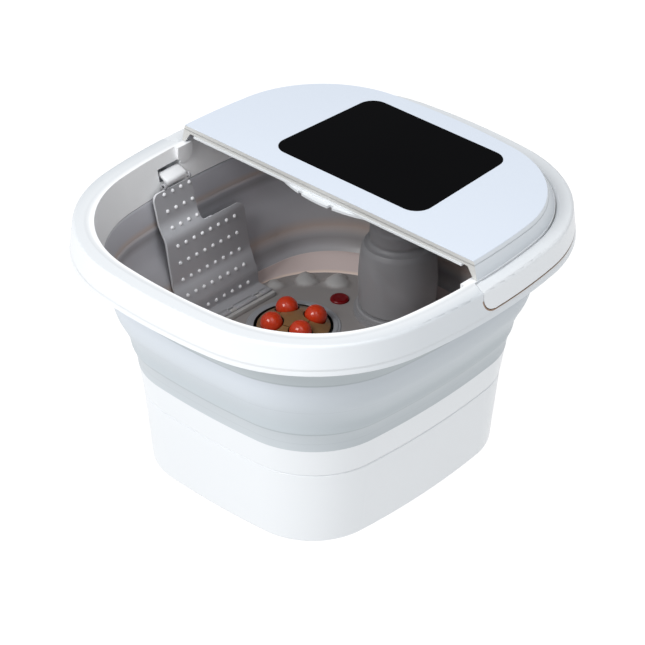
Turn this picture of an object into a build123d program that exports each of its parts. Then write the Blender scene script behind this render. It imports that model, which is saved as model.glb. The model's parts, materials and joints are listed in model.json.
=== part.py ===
"""Folding foot spa basin: millimetres, +Z up, origin on the ground under the middle of the basin.

The half lid covers the +Y side, the feet go in from the -Y side.
"""
from build123d import *
from math import asin, atan2, cos, degrees, hypot, pi, radians, sin, sqrt
import os

# ---- driving dimensions ------------------------------------------------------------------------
SKIRT_TOP = 112.0          # where the rigid base ends and the rubber wall begins
SKIRT_LIFT = 2.0           # ground clearance of the skirt, the height of the feet
SKIRT_WALL = 3.0
SKIRT_GROOVE = 82.0
FLOOR_TOP = 100.0
FLOOR_THICK = 2.5
RIM_BOTTOM = 233.5
RIM_TOP = 262.0
RIM_INNER_BOTTOM = 226.0
RIM_WALL = 2.5
RIM_WIDTH = 20.0           # flat top of the rim, inner edge to outer edge
RIM_FLARE = 3.5            # how far the outer face leans out at its lower edge
LID_TOP = 281.0
LID_SKIN = 2.5
LID_FRONT = -1.0
CLEAR = 0.3

# ---- the family of tub outlines ----------------------------------------------------------------
# An outline is half length x, half length y, side radius, end radius, corner radius.
BASE_OUTLINE = (141.5, 158.6, 807.0, 792.0, 81.0)
RIM_OUTLINE = (180.5, 198.2, 601.0, 587.0, 126.0)
LID_OUTLINE = (178.4, 183.0, 688.0, 684.0, 112.0)
FLOOR_OUTLINE = (133.5, 150.5, 700.0, 420.0, 98.0)
RIM = RIM_OUTLINE[0] - BASE_OUTLINE[0]      # spread of the rim's inner top edge


def spread(amount):
    """Outline between the base (0) and the rim (RIM); beyond either it is a parallel curve."""
    mix = min(max(amount / RIM, 0.0), 1.0)
    rest = amount - mix * RIM
    return tuple(b + (r - b) * mix + rest for b, r in zip(BASE_OUTLINE, RIM_OUTLINE))


def grown(outline, amount):
    """The parallel curve of an outline."""
    return tuple(value + amount for value in outline)


def around(amount, angle):
    """Point near the rim, amount out from the base outline, at an angle in degrees."""
    c, s = cos(radians(angle)), sin(radians(angle))
    half_x, half_y = spread(amount)[:2]
    reach = ((abs(c) / half_x) ** 2.9 + (abs(s) / half_y) ** 2.9) ** (-1 / 2.9)
    return reach * c, reach * s


def outline_face(height, outline):
    """Face of a closed outline: two side arcs, two end arcs, four corner arcs, all tangent."""
    half_x, half_y, side_r, end_r, corner_r = outline
    side_c = (half_x - side_r, 0.0)
    end_c = (0.0, half_y - end_r)
    to_side, to_end = side_r - corner_r, end_r - corner_r
    gap_x, gap_y = end_c[0] - side_c[0], end_c[1] - side_c[1]
    gap = hypot(gap_x, gap_y)
    along = (to_side**2 - to_end**2 + gap**2) / (2 * gap)
    across = sqrt(to_side**2 - along**2)
    corner_c = (
        side_c[0] + (gap_x * along + gap_y * across) / gap,
        side_c[1] + (gap_y * along - gap_x * across) / gap,
    )
    if corner_c[0] < 0 or corner_c[1] < 0:
        corner_c = (
            side_c[0] + (gap_x * along - gap_y * across) / gap,
            side_c[1] + (gap_y * along + gap_x * across) / gap,
        )
    first = atan2(corner_c[1] - side_c[1], corner_c[0] - side_c[0])
    last = atan2(corner_c[1] - end_c[1], corner_c[0] - end_c[0])
    middle = (first + last) / 2
    p = (corner_c[0] + corner_r * cos(first), corner_c[1] + corner_r * sin(first))
    m = (corner_c[0] + corner_r * cos(middle), corner_c[1] + corner_r * sin(middle))
    q = (corner_c[0] + corner_r * cos(last), corner_c[1] + corner_r * sin(last))
    with BuildSketch(Plane.XY.offset(height)) as sketch:
        with BuildLine():
            ThreePointArc((p[0], -p[1]), (half_x, 0), p)
            ThreePointArc(p, m, q)
            ThreePointArc(q, (0, half_y), (-q[0], q[1]))
            ThreePointArc((-q[0], q[1]), (-m[0], m[1]), (-p[0], p[1]))
            ThreePointArc((-p[0], p[1]), (-half_x, 0), (-p[0], -p[1]))
            ThreePointArc((-p[0], -p[1]), (-m[0], -m[1]), (-q[0], -q[1]))
            ThreePointArc((-q[0], -q[1]), (0, -half_y), (q[0], -q[1]))
            ThreePointArc((q[0], -q[1]), (m[0], -m[1]), (p[0], -p[1]))
        make_face()
    return sketch.sketch.faces()[0]


def tub_solid(levels, mode=Mode.ADD):
    """Stack of ruled stretches through (height, outline) levels."""
    loft(sections=[outline_face(height, outline) for height, outline in levels], ruled=True, mode=mode)


def block(low, high, mode=Mode.ADD):
    """Box given by its lowest and highest corners."""
    middle = tuple((a + b) / 2 for a, b in zip(low, high))
    with Locations(middle):
        Box(*[b - a for a, b in zip(low, high)], mode=mode)


def post(x, y, low, high, radius, mode=Mode.ADD):
    """Upright round post, or a round hole when subtracted."""
    with Locations((x, y, (low + high) / 2)):
        Cylinder(radius, high - low, mode=mode)


def bar_x(y, z, low, high, radius, mode=Mode.ADD):
    """Round bar along X."""
    with Locations(Location(((low + high) / 2, y, z), (0, 90, 0))):
        Cylinder(radius, abs(high - low), mode=mode)


def bar_y(x, z, low, high, radius, mode=Mode.ADD):
    """Round bar along Y."""
    with Locations(Location((x, (low + high) / 2, z), (90, 0, 0))):
        Cylinder(radius, abs(high - low), mode=mode)


os.makedirs("parts", exist_ok=True)


def finish(part, label):
    """Label a finished piece and write it."""
    part.label = label
    export_step(part, f"parts/{label}.step")


# ---- base: skirt, bottom cover, feet -----------------------------------------------------------
SKIRT_FOOT_SPREAD = -11.8   # how far the skirt draws in at the ground
SKIRT_GROOVE_SPREAD = -4.6
GROOVE_HALF, GROOVE_DEEP = 1.1, 0.8
LIP_WIDTH = 14.0            # inward lip that carries the bottom cover

with BuildPart() as base_skirt:
    tub_solid([
        (SKIRT_LIFT, spread(SKIRT_FOOT_SPREAD)),
        (SKIRT_GROOVE - GROOVE_HALF, spread(SKIRT_GROOVE_SPREAD - 0.1)),
        (SKIRT_GROOVE, spread(SKIRT_GROOVE_SPREAD - GROOVE_DEEP)),
        (SKIRT_GROOVE + GROOVE_HALF, spread(SKIRT_GROOVE_SPREAD + 0.2)),
        (SKIRT_TOP, spread(0)),
    ])
    fillet(base_skirt.edges().group_by(Axis.Z)[0], 3.5)
    tub_solid([
        (SKIRT_LIFT + SKIRT_WALL, spread(SKIRT_FOOT_SPREAD - SKIRT_WALL)),
        (SKIRT_GROOVE, spread(SKIRT_GROOVE_SPREAD - SKIRT_WALL)),
        (SKIRT_TOP + 1, spread(0.2 - SKIRT_WALL)),
    ], mode=Mode.SUBTRACT)
    tub_solid([
        (0, spread(SKIRT_FOOT_SPREAD - LIP_WIDTH)),
        (SKIRT_LIFT + SKIRT_WALL + 1, spread(SKIRT_FOOT_SPREAD - LIP_WIDTH)),
    ], mode=Mode.SUBTRACT)
    # Power inlet opening low in the back.
    block((-62, 130, 18), (-34, 165, 38), mode=Mode.SUBTRACT)
finish(base_skirt.part, "base_skirt")

BOSSES = [(-96, -88), (96, -88), (-96, 88), (96, 88), (0, -100)]
COVER_LOW = SKIRT_LIFT + SKIRT_WALL + 0.2
COVER_HIGH = COVER_LOW + 2.6

with BuildPart() as bottom_cover:
    tub_solid([
        (COVER_LOW, spread(SKIRT_FOOT_SPREAD - SKIRT_WALL - 0.6)),
        (COVER_HIGH, spread(SKIRT_FOOT_SPREAD - SKIRT_WALL - 0.6)),
    ])
    for x, y in BOSSES:
        post(x, y, COVER_LOW - 1, COVER_HIGH + 1, 1.9, mode=Mode.SUBTRACT)
    # Cooling slots under the motor.
    with Locations((0, 18, COVER_LOW)):
        with GridLocations(9, 0, 7, 1):
            Box(3.5, 46, 12, mode=Mode.SUBTRACT)
finish(bottom_cover.part, "bottom_cover")

FOOT_RADIUS = 9.0
with BuildPart() as rubber_feet:
    for x in (-97.5, 97.5):
        for y in (-110.5, 110.5):
            post(x, y, 0, SKIRT_LIFT, FOOT_RADIUS)
finish(rubber_feet.part, "rubber_feet")

with BuildPart() as bottom_screws:
    for x, y in BOSSES:
        post(x, y, COVER_LOW - 2, COVER_LOW, 3.6)
        post(x, y, COVER_LOW - 0.5, 24, 1.6)
finish(bottom_screws.part, "bottom_screws")

# ---- tub floor ---------------------------------------------------------------------------------
ROLLER_X, ROLLER_Y = 55.0, 18.0
WELL_R = 40.2              # round opening in the floor for a roller's seat
LENS_X, LENS_Y, LENS_R = 55.0, 83.6, 9.5
COLUMN_X, COLUMN_Y = -1.0, 107.0
PEBBLES = [(119, 59, 9.5, 4.0), (103.5, 87, 12.0, 5.5), (79, 106, 13.0, 6.0)]
HINGE_X, HINGE_Z = 112.0, 104.0
HINGE_PIN_R = 1.5
PLATE_FRONT, PLATE_BACK = -59.0, 46.0
KNUCKLES = [-42.0, -6.5, 29.0]      # middles of the hinge knuckles on the floor, along Y
KNUCKLE_LONG = 7.0

with BuildPart() as tub_floor:
    tub_solid([
        (FLOOR_TOP - FLOOR_THICK, grown(FLOOR_OUTLINE, 2.0)),
        (SKIRT_TOP - 2.5, spread(-4.0)),
        (SKIRT_TOP, spread(-3.4)),
    ])
    tub_solid([
        (FLOOR_TOP, FLOOR_OUTLINE),
        (SKIRT_TOP, spread(-6.0)),
        (SKIRT_TOP + 1, spread(-6.0)),
    ], mode=Mode.SUBTRACT)
    for x, y in BOSSES:
        post(x, y, COVER_HIGH + CLEAR, FLOOR_TOP - 1, 4.5)
        post(x, y, COVER_HIGH, 27, 1.75, mode=Mode.SUBTRACT)
    for side in (-1, 1):
        for x, y, radius, height in PEBBLES:
            ball_r = (radius**2 + height**2) / (2 * height)
            lowest = degrees(asin((ball_r - height - 0.5) / ball_r))
            with Locations((side * x, y, FLOOR_TOP - 0.5)):
                Sphere(ball_r, arc_size1=lowest, align=(Align.CENTER, Align.CENTER, Align.MIN))
        post(side * ROLLER_X, ROLLER_Y, FLOOR_TOP - 5, FLOOR_TOP + 2, WELL_R + 0.1, mode=Mode.SUBTRACT)
        post(side * LENS_X, LENS_Y, FLOOR_TOP - 5, FLOOR_TOP + 2, LENS_R + 0.1, mode=Mode.SUBTRACT)
        for y in KNUCKLES:
            low_x, high_x = sorted((side * (HINGE_X - 3.2), side * (HINGE_X + 3.2)))
            block((low_x, y - KNUCKLE_LONG / 2, FLOOR_TOP - 1), (high_x, y + KNUCKLE_LONG / 2, HINGE_Z))
            bar_y(side * HINGE_X, HINGE_Z, y - KNUCKLE_LONG / 2, y + KNUCKLE_LONG / 2, 3.2)
            bar_y(side * HINGE_X, HINGE_Z, y - 5, y + 5, HINGE_PIN_R + 0.02, mode=Mode.SUBTRACT)
    post(COLUMN_X, COLUMN_Y, FLOOR_TOP - 5, FLOOR_TOP + 2, 24, mode=Mode.SUBTRACT)
finish(tub_floor.part, "tub_floor")

# ---- folding rubber wall -----------------------------------------------------------------------
WALL_OUTSIDE = [
    (SKIRT_TOP, 0.0), (118, 1.0), (134, 6.0), (150, 9.8), (172, 22.0), (199, 26.8), (222, 32.5), (226, 36.6),
    (232, 38.0),
]
WALL_INSIDE = [
    (SKIRT_TOP - 1, -5.4), (SKIRT_TOP, -5.4), (118, -1.6), (134, 3.4), (150, 7.2), (172, 19.4), (199, 24.2),
    (224.4, 30.8), (225.6, 34.1), (233, 35.7),
]

with BuildPart() as folding_wall:
    tub_solid([(height, spread(out)) for height, out in WALL_OUTSIDE])
    tub_solid([(height, spread(out)) for height, out in WALL_INSIDE], mode=Mode.SUBTRACT)
finish(folding_wall.part, "folding_wall")

# ---- rim ---------------------------------------------------------------------------------------
PIVOT_Y, PIVOT_Z = 2.0, 256.0
PIN_R = 2.5
HANDLE_BOTTOM = 241.5
HANDLE_END_R = PIVOT_Z - HANDLE_BOTTOM - 0.5
HANDLE_NOSE_R = 8.0         # the end is narrower at the rim's inner edge
HANDLE_INSET = 4.0          # rim's inner edge to the handle's inner edge
HANDLE_WALL = 2.5
HANDLE_SHELF = 253.5        # rim surface under the handle's top web
SHELF_WIDTH = 16.0
RIM_OUTER = RIM + RIM_WIDTH
RIM_TAPER = 8.0             # how far the inner wall draws in at its lower edge


def rim_face(height):
    """Spread of the rim's outer face at a height."""
    return RIM_OUTER + RIM_FLARE * (RIM_TOP - height) / (RIM_TOP - RIM_BOTTOM)


def handle_zone(gap):
    """Everything behind the pivots, with both ends rounded about the pivot axis."""
    with BuildPart(mode=Mode.PRIVATE) as zone:
        block((-230, PIVOT_Y, 200), (230, 240, 300))
        with BuildSketch(Plane.XZ.offset(-PIVOT_Y)):
            for side in (-1, 1):
                nose_x = RIM_OUTLINE[0] + HANDLE_INSET - 1
                with BuildLine():
                    Polyline(
                        (side * 150, PIVOT_Z),
                        (side * 150, PIVOT_Z + HANDLE_NOSE_R + gap),
                        (side * nose_x, PIVOT_Z + HANDLE_NOSE_R + gap),
                        (side * (nose_x + 14), PIVOT_Z + HANDLE_END_R + gap),
                        (side * 230, PIVOT_Z + HANDLE_END_R + gap),
                        (side * 230, PIVOT_Z),
                        close=True,
                    )
                make_face()
        revolve(axis=Axis((0, PIVOT_Y, PIVOT_Z), (1, 0, 0)))
    return zone.part


def handle_band(low, inner, outer_face, top):
    """Solid ring between two parallel outlines, used for the handle and its recess."""
    with BuildPart(mode=Mode.PRIVATE) as band:
        tub_solid([(low, spread(outer_face(low))), (top, spread(outer_face(top)))])
        tub_solid([(low - 1, spread(inner)), (top + 1, spread(inner))], mode=Mode.SUBTRACT)
    return band.part


LUGS = [(-158, 96), (158, 96), (-92, 160), (92, 160)]
SCREW_ANGLES = [25, 60, 90, 120, 155, 205, 240, 270, 300, 335]
SCREW_SPREAD = 46.0
LATCH_Y = (-40.0, -12.0)
LATCH_Z = (236.0, 247.0)

with BuildPart() as rim_frame:
    tub_solid([(RIM_BOTTOM, spread(rim_face(RIM_BOTTOM))), (RIM_TOP, spread(RIM_OUTER))])
    fillet(rim_frame.edges().group_by(Axis.Z)[-1], 3.0)
    tub_solid([
        (RIM_INNER_BOTTOM, spread(RIM - RIM_TAPER + RIM_WALL)),
        (RIM_BOTTOM + 1, spread(RIM - RIM_TAPER + RIM_WALL + 1.6)),
    ])
    # Open middle, drawn in towards the bottom.
    tub_solid([
        (RIM_INNER_BOTTOM - 1, spread(RIM - RIM_TAPER)),
        (RIM_INNER_BOTTOM, spread(RIM - RIM_TAPER)),
        (RIM_TOP, spread(RIM)),
        (RIM_TOP + 1, spread(RIM + 0.2)),
    ], mode=Mode.SUBTRACT)
rim_outer_shell = rim_frame.part

with BuildPart() as rim_hollow_front:
    tub_solid([
        (RIM_BOTTOM - 1, spread(rim_face(RIM_BOTTOM) - RIM_WALL)),
        (RIM_TOP - RIM_WALL, spread(RIM_OUTER - RIM_WALL)),
    ])
    tub_solid([
        (RIM_BOTTOM - 2, spread(RIM - RIM_TAPER + RIM_WALL + 1.4)),
        (RIM_TOP, spread(RIM + RIM_WALL)),
    ], mode=Mode.SUBTRACT)
    block((-230, -19, 200), (230, 230, 300), mode=Mode.SUBTRACT)

with BuildPart() as rim_hollow_back:
    tub_solid([
        (RIM_BOTTOM - 1, spread(RIM + SHELF_WIDTH - RIM_WALL)),
        (HANDLE_SHELF - RIM_WALL, spread(RIM + SHELF_WIDTH - RIM_WALL)),
    ])
    tub_solid([
        (RIM_BOTTOM - 1, spread(rim_face(RIM_BOTTOM) - RIM_WALL)),
        (HANDLE_BOTTOM - 1 - RIM_WALL, spread(rim_face(HANDLE_BOTTOM) - RIM_WALL)),
    ])
    tub_solid([
        (RIM_BOTTOM - 2, spread(RIM - RIM_TAPER + RIM_WALL + 1.4)),
        (RIM_TOP, spread(RIM + RIM_WALL)),
    ], mode=Mode.SUBTRACT)
    block((-230, -230, 200), (230, 20, 300), mode=Mode.SUBTRACT)

with BuildPart() as handle_recess:
    add(handle_band(HANDLE_BOTTOM - 1.0, RIM + HANDLE_INSET - 0.8, lambda z: RIM_OUTER + 12, RIM_TOP + 2))
    add(handle_band(RIM_BOTTOM - 2, RIM - 20, lambda z: RIM + SHELF_WIDTH, HANDLE_SHELF), mode=Mode.SUBTRACT)
    for side in (-1, 1):
        low_x, high_x = sorted((side * (RIM_OUTLINE[0] + HANDLE_INSET - 0.8), side * 230))
        block((low_x, -30, HANDLE_BOTTOM - 1.0), (high_x, 18, RIM_TOP + 2))
    add(handle_zone(0.7), mode=Mode.INTERSECT)

with BuildPart() as rim_frame:
    add(rim_outer_shell)
    add(rim_hollow_front.part, mode=Mode.SUBTRACT)
    add(rim_hollow_back.part, mode=Mode.SUBTRACT)
    add(handle_recess.part, mode=Mode.SUBTRACT)
    for side in (-1, 1):
        # Pivot pad on the inner wall, round below, level with the rim on top.
        pad_y, pad_r = -4.5, 9.5
        near, far = RIM_OUTLINE[0] - 5.0, RIM_OUTLINE[0] + 2.2
        low_x, high_x = sorted((side * near, side * far))
        bar_x(pad_y, PIVOT_Z - 3.5, low_x, high_x, pad_r)
        block((low_x, pad_y - pad_r, PIVOT_Z - 3.5), (high_x, pad_y + pad_r, RIM_TOP))
        bar_x(PIVOT_Y, PIVOT_Z, side * (near + 2), side * (far + 3), PIN_R + 0.02, mode=Mode.SUBTRACT)
        # Window for the plate's latch.
        low_x, high_x = sorted((side * (RIM_OUTLINE[0] - 9), side * (RIM_OUTLINE[0] + 6)))
        window_low = (low_x, LATCH_Y[0] - 1, LATCH_Z[0] - 1)
        window_high = (high_x, LATCH_Y[1] + 1, LATCH_Z[1] + 2)
        block(window_low, window_high, mode=Mode.SUBTRACT)
    for x, y in LUGS:
        # Arm from the inner wall to the lid's screw.
        far_x, far_y = around(RIM - 0.5, degrees(atan2(y, x)))
        with BuildSketch(Plane.XY.offset(256)):
            with BuildLine():
                Line((x, y), (far_x, far_y))
            trace(line_width=12)
            with Locations((x, y)):
                Circle(6)
        extrude(amount=3)
        post(x, y, 255, 260, 1.7, mode=Mode.SUBTRACT)
    for angle in SCREW_ANGLES:
        x, y = around(SCREW_SPREAD, angle)
        post(x, y, RIM_BOTTOM + CLEAR, HANDLE_SHELF - 1 if y > 0 else RIM_TOP - 1.5, 4.0)
        post(x, y, RIM_BOTTOM - 1, RIM_BOTTOM + 12, 1.6, mode=Mode.SUBTRACT)
finish(rim_frame.part, "rim_frame")

CLAMP_LOW, CLAMP_HIGH = 231.0, 233.2
CLAMP_OUTER = rim_face(RIM_BOTTOM) - RIM_WALL - 0.5
CLAMP_INNER = 38.5

with BuildPart() as rim_clamp_ring:
    tub_solid([(CLAMP_LOW, spread(CLAMP_OUTER)), (CLAMP_HIGH, spread(CLAMP_OUTER))])
    tub_solid([
        (CLAMP_LOW - 1, spread(CLAMP_INNER)),
        (CLAMP_HIGH + 1, spread(CLAMP_INNER)),
    ], mode=Mode.SUBTRACT)
    for angle in SCREW_ANGLES:
        x, y = around(SCREW_SPREAD, angle)
        post(x, y, CLAMP_LOW - 1, CLAMP_HIGH + 1, 1.8, mode=Mode.SUBTRACT)
finish(rim_clamp_ring.part, "rim_clamp_ring")

with BuildPart() as rim_screws:
    for angle in SCREW_ANGLES:
        x, y = around(SCREW_SPREAD, angle)
        post(x, y, CLAMP_LOW - 2, CLAMP_LOW, 3.4)
        post(x, y, CLAMP_LOW - 0.5, CLAMP_LOW + 12, 1.5)
finish(rim_screws.part, "rim_screws")

# ---- carrying handle ---------------------------------------------------------------------------
BOSS_R = 5.5
with BuildPart() as carrying_handle:
    add(handle_band(HANDLE_BOTTOM, RIM + HANDLE_INSET, rim_face, RIM_TOP))
    fillet(carrying_handle.edges().group_by(Axis.Z)[-1].sort_by(SortBy.LENGTH)[-8:], 3.0)
    add(handle_band(
        HANDLE_BOTTOM - 1, RIM + HANDLE_INSET + 2, lambda z: rim_face(z) - HANDLE_WALL, RIM_TOP - HANDLE_WALL,
    ), mode=Mode.SUBTRACT)
    add(handle_band(
        HANDLE_BOTTOM - 1, RIM + HANDLE_INSET - 2, lambda z: RIM + HANDLE_INSET + 3, HANDLE_SHELF + 1,
    ), mode=Mode.SUBTRACT)
    add(handle_zone(0), mode=Mode.INTERSECT)
    for side in (-1, 1):
        bar_x(PIVOT_Y, PIVOT_Z, side * 185.2, side * 199.5, BOSS_R)
        bar_x(PIVOT_Y, PIVOT_Z, side * 180, side * 198.2, PIN_R + 0.05, mode=Mode.SUBTRACT)
finish(carrying_handle.part, "carrying_handle")

with BuildPart() as handle_pins:
    for side in (-1, 1):
        bar_x(PIVOT_Y, PIVOT_Z, side * 177.6, side * 197.5, PIN_R)
finish(handle_pins.part, "handle_pins")

# ---- half lid ----------------------------------------------------------------------------------
GLASS_FRONT, GLASS_BACK = 24.8, 161.4
GLASS_HALF_FRONT, GLASS_HALF_BACK = 92.0, 85.7
GLASS_CORNER = 17.0
GLASS_THICK = 1.8
TRAY_LOW, TRAY_HIGH = 271.0, 273.2
FASCIA_LOW = 273.5


def glass_sketch(height, grow):
    """Outline of the control glass, a little narrower at the back."""
    with BuildSketch(Plane.XY.offset(height)) as sketch:
        with BuildLine():
            FilletPolyline(
                (-GLASS_HALF_FRONT - grow, GLASS_FRONT - grow),
                (GLASS_HALF_FRONT + grow, GLASS_FRONT - grow),
                (GLASS_HALF_BACK + grow, GLASS_BACK + grow),
                (-GLASS_HALF_BACK - grow, GLASS_BACK + grow),
                radius=GLASS_CORNER + grow,
                close=True,
            )
        make_face()
    return sketch.sketch.faces()[0]


with BuildPart() as lid_cover:
    tub_solid([
        (RIM_TOP, spread(RIM + 2.7)),
        (LID_TOP - 4.5, grown(LID_OUTLINE, 1.4)),
        (LID_TOP, LID_OUTLINE),
    ])
    block((-230, -230, 250), (230, LID_FRONT, 290), mode=Mode.SUBTRACT)
    with BuildPart(mode=Mode.PRIVATE) as hollow:
        tub_solid([
            (RIM_TOP - 1, spread(RIM + 0.4)),
            (LID_TOP - 5, grown(LID_OUTLINE, -1.2)),
            (LID_TOP - LID_SKIN, grown(LID_OUTLINE, -LID_SKIN)),
        ])
        block((-230, -230, 250), (230, LID_FRONT + LID_SKIN, 290), mode=Mode.SUBTRACT)
    add(hollow.part, mode=Mode.SUBTRACT)
    # Front opening, its ends curving down to the rim.
    with BuildSketch(Plane.XZ.offset(-LID_FRONT - LID_SKIN - 0.5)):
        with BuildLine():
            FilletPolyline(
                (-184, 255), (-184, RIM_TOP + 0.2), (-179, RIM_TOP + 0.6), (-172, FASCIA_LOW),
                (172, FASCIA_LOW), (179, RIM_TOP + 0.6), (184, RIM_TOP + 0.2), (184, 255),
                radius=2.2,
                close=True,
            )
        make_face()
    extrude(amount=6, mode=Mode.SUBTRACT)
    extrude(glass_sketch(LID_TOP + 1, 0.2), amount=-GLASS_THICK - 0.8, mode=Mode.SUBTRACT)
    extrude(glass_sketch(LID_TOP + 1, -5), amount=-9, mode=Mode.SUBTRACT)
finish(lid_cover.part, "lid_cover")

with BuildPart() as control_glass:
    extrude(glass_sketch(LID_TOP + 0.3, 0), amount=-GLASS_THICK)
    fillet(control_glass.edges().group_by(Axis.Z)[-1], 0.5)
finish(control_glass.part, "control_glass")

with BuildPart() as lid_tray:
    tub_solid([(TRAY_LOW, grown(LID_OUTLINE, -1.9)), (TRAY_HIGH, grown(LID_OUTLINE, -1.9))])
    block((-230, -230, 250), (230, LID_FRONT + LID_SKIN + 0.3, 290), mode=Mode.SUBTRACT)
    block((-166, LID_FRONT - 1.4, TRAY_LOW + 0.2), (166, 3, TRAY_HIGH))
    # Finger ledge that bulges forward below the front edge, with two snap notches.
    with BuildSketch(Plane.XY.offset(TRAY_LOW - 2.2)):
        with BuildLine():
            ThreePointArc((-52, 0.5), (-1.5, -8.2), (49, 0.5))
            Polyline((49, 0.5), (49, 8), (-52, 8), (-52, 0.5))
        make_face()
    extrude(amount=2.5)
    for x in (-25, 13):
        block((x - 2.5, -9, TRAY_LOW - 3), (x + 2.5, -4, TRAY_LOW + 1), mode=Mode.SUBTRACT)
    for x, y in LUGS:
        post(x, y, 259.3, TRAY_LOW + 0.5, 4.5)
        post(x, y, 259, 268.5, 1.5, mode=Mode.SUBTRACT)
    post(COLUMN_X, COLUMN_Y, 250, 290, 22, mode=Mode.SUBTRACT)
finish(lid_tray.part, "lid_tray")

with BuildPart() as lid_screws:
    for x, y in LUGS:
        post(x, y, 253.8, 256, 3.2)
        post(x, y, 255.5, 268, 1.45)
finish(lid_screws.part, "lid_screws")

with BuildPart() as control_board:
    block((-78, 40, 274.0), (78, 148, 275.6))
    for x, y, size in ((-60, 130, 12), (-20, 132, 9), (35, 130, 14), (60, 50, 10)):
        block((x - size / 2, y - size / 2, 275.5), (x + size / 2, y + size / 2, 278.0))
finish(control_board.part, "control_board")

with BuildPart() as display_module:
    block((-62, 62, 275.9), (62, 112, 279.2))
    fillet(display_module.edges().filter_by(Axis.Z), 3)
finish(display_module.part, "display_module")

# ---- rubber column that carries the wires up to the lid ----------------------------------------
with BuildPart() as column_flange:
    post(COLUMN_X, COLUMN_Y, FLOOR_TOP, 104.5, 42.5)
    post(COLUMN_X, COLUMN_Y, 104, 109.5, 40.0)
    fillet(column_flange.edges().group_by(Axis.Z)[-1], 1.5)
    post(COLUMN_X, COLUMN_Y, FLOOR_TOP - 1, 112, 35.8, mode=Mode.SUBTRACT)
finish(column_flange.part, "column_flange")

with BuildPart() as column_sleeve:
    with BuildSketch(Plane.XZ):
        with BuildLine():
            Polyline((24.5, 100.4), (35.4, 100.4), (35.4, 110), (37.0, 111))
            ThreePointArc((37.0, 111), (38.2, 142), (35.5, 174))
            ThreePointArc((35.5, 174), (34.2, 177.6), (31, 178.6))
            Polyline(
                (31, 178.6), (28.6, 178.6), (28.2, 197), (27.0, 199), (26.8, 270.4), (24.3, 270.4),
                (24.5, 181), (32.5, 174), (32.8, 104), (24.5, 104), (24.5, 100.4),
            )
        make_face()
    revolve(axis=Axis.Z)
column_at = Location((COLUMN_X, COLUMN_Y, 0))
finish(column_sleeve.part.moved(column_at), "column_sleeve")

with BuildPart() as column_cap:
    post(COLUMN_X, COLUMN_Y, 262, TRAY_LOW - 0.05, 31)
    post(COLUMN_X, COLUMN_Y, 261, 272, 27.2, mode=Mode.SUBTRACT)
finish(column_cap.part, "column_cap")

# ---- lamp lenses -------------------------------------------------------------------------------
SIDES = (("left", -1), ("right", 1))
for name, side in SIDES:
    with BuildPart() as lamp_lens:
        post(side * LENS_X, LENS_Y, FLOOR_TOP - 3.5, FLOOR_TOP + 2.4, LENS_R)
        fillet(lamp_lens.edges().group_by(Axis.Z)[-1], 2.2)
        post(side * LENS_X, LENS_Y, FLOOR_TOP - 5.5, FLOOR_TOP - 2.8, LENS_R + 2.5)
    finish(lamp_lens.part, f"{name}_lamp_lens")

with BuildPart() as lamp_boards:
    for name, side in SIDES:
        block((side * LENS_X - 14, LENS_Y - 14, 91.6), (side * LENS_X + 14, LENS_Y + 14, 93.2))
        post(side * LENS_X, LENS_Y, 93, 94.3, 6)
finish(lamp_boards.part, "lamp_boards")

# ---- massage rollers ---------------------------------------------------------------------------
SEAT_BORE, SEAT_R, SEAT_TOP = 38.2, 46.0, 101.6
SEAT_LOW, SEAT_FLOOR = 92.0, 94.0
BUSH_R, BUSH_LOW = 7.9, 85.0
DISC_R = 35.5
DISC_LOW, DISC_SEAM = 94.8, 99.8
DOME_EDGE, DOME_TOP = 101.1, 111.0
BALL_R, BALL_PITCH, BALL_Z = 11.0, 22.2, 107.7
BALL_SOCKET = 0.3
BALL_ANGLES = [-30, 60, 150, 240]
CUP_R, CUP_LOW = 12.2, 103.5         # open cup round each ball
SEAM_LONG, SEAM_WIDE, SEAM_LOW = 11.0, 0.8, 107.3
SHAFT_R = 4.0
GEAR_MODULE, GEAR_TEETH, PINION_TEETH = 1.25, 72, 16
GEAR_LOW, GEAR_HIGH = 74.0, 82.0
GEAR_FIT = 0.02


def ball_places(side):
    """Centres of one roller's balls; the right roller mirrors the left one."""
    turns = [radians(angle) for angle in BALL_ANGLES]
    return [
        (side * (ROLLER_X - BALL_PITCH * cos(turn)), ROLLER_Y + BALL_PITCH * sin(turn), BALL_Z)
        for turn in turns
    ]


def gear(teeth, bore, low, high, turn):
    """Spur gear with straight-sided stub teeth, its first tooth at the angle turn."""
    pitch_r = GEAR_MODULE * teeth / 2
    tip_r, root_r = pitch_r + 0.85 * GEAR_MODULE, pitch_r - 1.2 * GEAR_MODULE
    points = []
    for tooth in range(teeth):
        middle = radians(turn) + 2 * pi * tooth / teeth
        for radius, half_width in ((root_r, -1.15), (tip_r, -0.5), (tip_r, 0.5), (root_r, 1.15)):
            angle = middle + half_width / radius
            points.append((radius * cos(angle), radius * sin(angle)))
    with BuildPart() as wheel:
        with BuildSketch(Plane.XY.offset(low)):
            with BuildLine():
                Polyline(*points, close=True)
            make_face()
            Circle(bore, mode=Mode.SUBTRACT)
        extrude(amount=high - low)
    return wheel.part


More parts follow.
